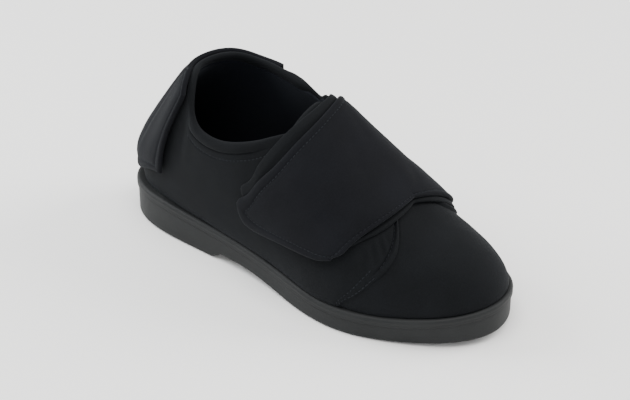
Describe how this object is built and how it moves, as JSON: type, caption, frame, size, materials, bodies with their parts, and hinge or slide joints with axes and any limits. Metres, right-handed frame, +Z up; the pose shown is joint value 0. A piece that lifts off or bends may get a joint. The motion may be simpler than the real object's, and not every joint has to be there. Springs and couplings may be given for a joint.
{
  "type": "orthopedic shoe",
  "caption": "Extra wide right orthopedic shoe with a hollow padded textile upper, broad instep strap, padded heel strap, tongue, insole and a grey unit sole.",
  "frame": {"origin": "on the floor, under the middle of the shoe's own box", "axes": "+X to the toe, +Y to the inner side of the foot, +Z up"},
  "size_m": [0.292, 0.1162, 0.1241],
  "materials": {
    "grey_rubber": "satin dark grey moulded rubber",
    "dark_lining": "matt near-black lining cloth",
    "black_cloth": "matt black stretch cloth",
    "tongue_cloth": "matt black padded cloth",
    "strap_base_cloth": "matt black loop cloth",
    "strap_cloth": "matt black bound cloth",
    "heel_strap_cloth": "matt black padded cloth"
  },
  "bodies": {
    "root": {"outsole": "grey_rubber", "insole": "dark_lining", "upper": "black_cloth", "tongue": "tongue_cloth", "strap_base": "strap_base_cloth", "strap": "strap_cloth", "heel_strap": "heel_strap_cloth"}
  },
  "joints": []
}
